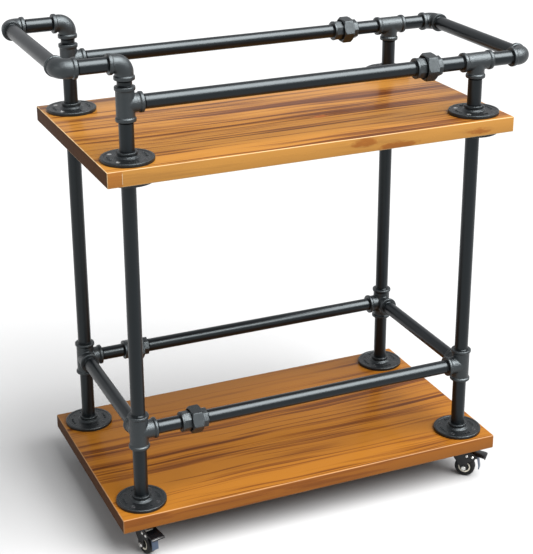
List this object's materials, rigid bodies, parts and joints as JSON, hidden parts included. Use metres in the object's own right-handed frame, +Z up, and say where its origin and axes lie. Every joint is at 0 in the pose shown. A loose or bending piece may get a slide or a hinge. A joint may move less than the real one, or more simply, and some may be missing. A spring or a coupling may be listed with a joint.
{
  "type": "bar cart",
  "caption": "Rolling two-shelf bar cart of black threaded pipe and wood boards, with guard rails and a raised push handle.",
  "frame": {"origin": "on the floor under the middle of the cart's bounding box, wheels resting on z = 0", "axes": "+Z up; +X along the boards away from the raised handle, which is at -X; -Y is the front long side"},
  "size_m": [0.943, 0.4744, 0.9695],
  "materials": {
    "upper_board_wood": "honey-brown stained and lacquered pine, glossy, grain along the board",
    "lower_board_wood": "red-brown stained and lacquered pine with strong light and dark stripes",
    "pipe_black": "satin black coated steel pipe",
    "fitting_iron": "slightly rough black malleable iron",
    "caster_steel": "glossy black coated sheet steel",
    "tyre_black": "smooth black rubber tread"
  },
  "bodies": {
    "root": {"lower_board": "lower_board_wood", "upper_board": "upper_board_wood", "foot_flange_front_left": "fitting_iron", "foot_flange_front_right": "fitting_iron", "foot_flange_rear_left": "fitting_iron", "foot_flange_rear_right": "fitting_iron", "side_outlet_tee_front_left": "fitting_iron", "side_outlet_tee_front_right": "fitting_iron", "side_outlet_tee_rear_left": "fitting_iron", "side_outlet_tee_rear_right": "fitting_iron", "rail_post_front_left": "fitting_iron", "rail_post_front_right": "fitting_iron", "rail_post_rear_left": "fitting_iron", "rail_post_rear_right": "fitting_iron", "rail_tee_front_left": "fitting_iron", "rail_tee_front_right": "fitting_iron", "rail_tee_rear_left": "fitting_iron", "rail_tee_rear_right": "fitting_iron", "lower_union_front": "fitting_iron", "lower_union_rear": "fitting_iron", "top_union_front": "fitting_iron", "top_union_rear": "fitting_iron", "handle_elbow_front": "fitting_iron", "handle_elbow_rear": "fitting_iron", "handle_corner_front": "fitting_iron", "handle_corner_rear": "fitting_iron", "cross_bar_corner_front": "fitting_iron", "cross_bar_corner_rear": "fitting_iron", "post_front_left": "pipe_black", "post_front_right": "pipe_black", "post_rear_left": "pipe_black", "post_rear_right": "pipe_black", "lower_side_rail_left": "pipe_black", "lower_side_rail_right": "pipe_black", "lower_rail_front": "pipe_black", "lower_rail_rear": "pipe_black", "top_rail_front": "pipe_black", "top_rail_rear": "pipe_black", "handle_arm_front": "pipe_black", "handle_arm_rear": "pipe_black", "cross_bar_arm_front": "pipe_black", "cross_bar_arm_rear": "pipe_black", "handle_bar": "pipe_black", "cross_bar": "pipe_black", "caster_plate_front_left": "caster_steel", "caster_plate_front_right": "caster_steel", "caster_plate_rear_left": "caster_steel", "caster_plate_rear_right": "caster_steel"},
    "swivel_front_left": {"caster_fork_front_left": "caster_steel"},
    "wheel_front_left": {"caster_wheel_front_left": "tyre_black"},
    "brake_front_left": {"brake_pedal_front_left": "caster_steel"},
    "swivel_front_right": {"caster_fork_front_right": "caster_steel"},
    "wheel_front_right": {"caster_wheel_front_right": "tyre_black"},
    "brake_front_right": {"brake_pedal_front_right": "caster_steel"},
    "swivel_rear_left": {"caster_fork_rear_left": "caster_steel"},
    "wheel_rear_left": {"caster_wheel_rear_left": "tyre_black"},
    "brake_rear_left": {"brake_pedal_rear_left": "caster_steel"},
    "swivel_rear_right": {"caster_fork_rear_right": "caster_steel"},
    "wheel_rear_right": {"caster_wheel_rear_right": "tyre_black"},
    "brake_rear_right": {"brake_pedal_rear_right": "caster_steel"}
  },
  "joints": [
    {"name": "swivel_front_left_turn", "type": "hinge", "parent": "root", "child": "swivel_front_left", "pos_m": [-0.344, -0.178, 0.062], "axis": [0, 0, 1], "continuous": true},
    {"name": "wheel_front_left_spin", "type": "hinge", "parent": "swivel_front_left", "child": "wheel_front_left", "pos_m": [-0.34085, -0.19164, 0.021], "axis": [0.9744, 0.225, 0], "continuous": true},
    {"name": "brake_front_left_press", "type": "hinge", "parent": "swivel_front_left", "child": "brake_front_left", "pos_m": [-0.33703, -0.20821, 0.0485], "axis": [0.9744, 0.225, 0], "range_deg": [0, 12]},
    {"name": "swivel_front_right_turn", "type": "hinge", "parent": "root", "child": "swivel_front_right", "pos_m": [0.352, -0.178, 0.062], "axis": [0, 0, 1], "continuous": true},
    {"name": "wheel_front_right_spin", "type": "hinge", "parent": "swivel_front_right", "child": "wheel_front_right", "pos_m": [0.36207, -0.18773, 0.021], "axis": [0.6947, 0.7193, 0], "continuous": true},
    {"name": "brake_front_right_press", "type": "hinge", "parent": "swivel_front_right", "child": "brake_front_right", "pos_m": [0.3743, -0.19953, 0.0485], "axis": [0.6947, 0.7193, 0], "range_deg": [0, 12]},
    {"name": "swivel_rear_left_turn", "type": "hinge", "parent": "root", "child": "swivel_rear_left", "pos_m": [-0.344, 0.178, 0.062], "axis": [0, 0, 1], "continuous": true},
    {"name": "wheel_rear_left_spin", "type": "hinge", "parent": "swivel_rear_left", "child": "wheel_rear_left", "pos_m": [-0.34473, 0.19198, 0.021], "axis": [-0.9986, -0.0523, 0], "continuous": true},
    {"name": "brake_rear_left_press", "type": "hinge", "parent": "swivel_rear_left", "child": "brake_rear_left", "pos_m": [-0.34562, 0.20896, 0.0485], "axis": [-0.9986, -0.0523, 0], "range_deg": [0, 12]},
    {"name": "swivel_rear_right_turn", "type": "hinge", "parent": "root", "child": "swivel_rear_right", "pos_m": [0.352, 0.178, 0.062], "axis": [0, 0, 1], "continuous": true},
    {"name": "wheel_rear_right_spin", "type": "hinge", "parent": "swivel_rear_right", "child": "wheel_rear_right", "pos_m": [0.36347, 0.18603, 0.021], "axis": [-0.5736, 0.8192, 0], "continuous": true},
    {"name": "brake_rear_right_press", "type": "hinge", "parent": "swivel_rear_right", "child": "brake_rear_right", "pos_m": [0.37739, 0.19578, 0.0485], "axis": [-0.5736, 0.8192, 0], "range_deg": [0, 12]}
  ]
}
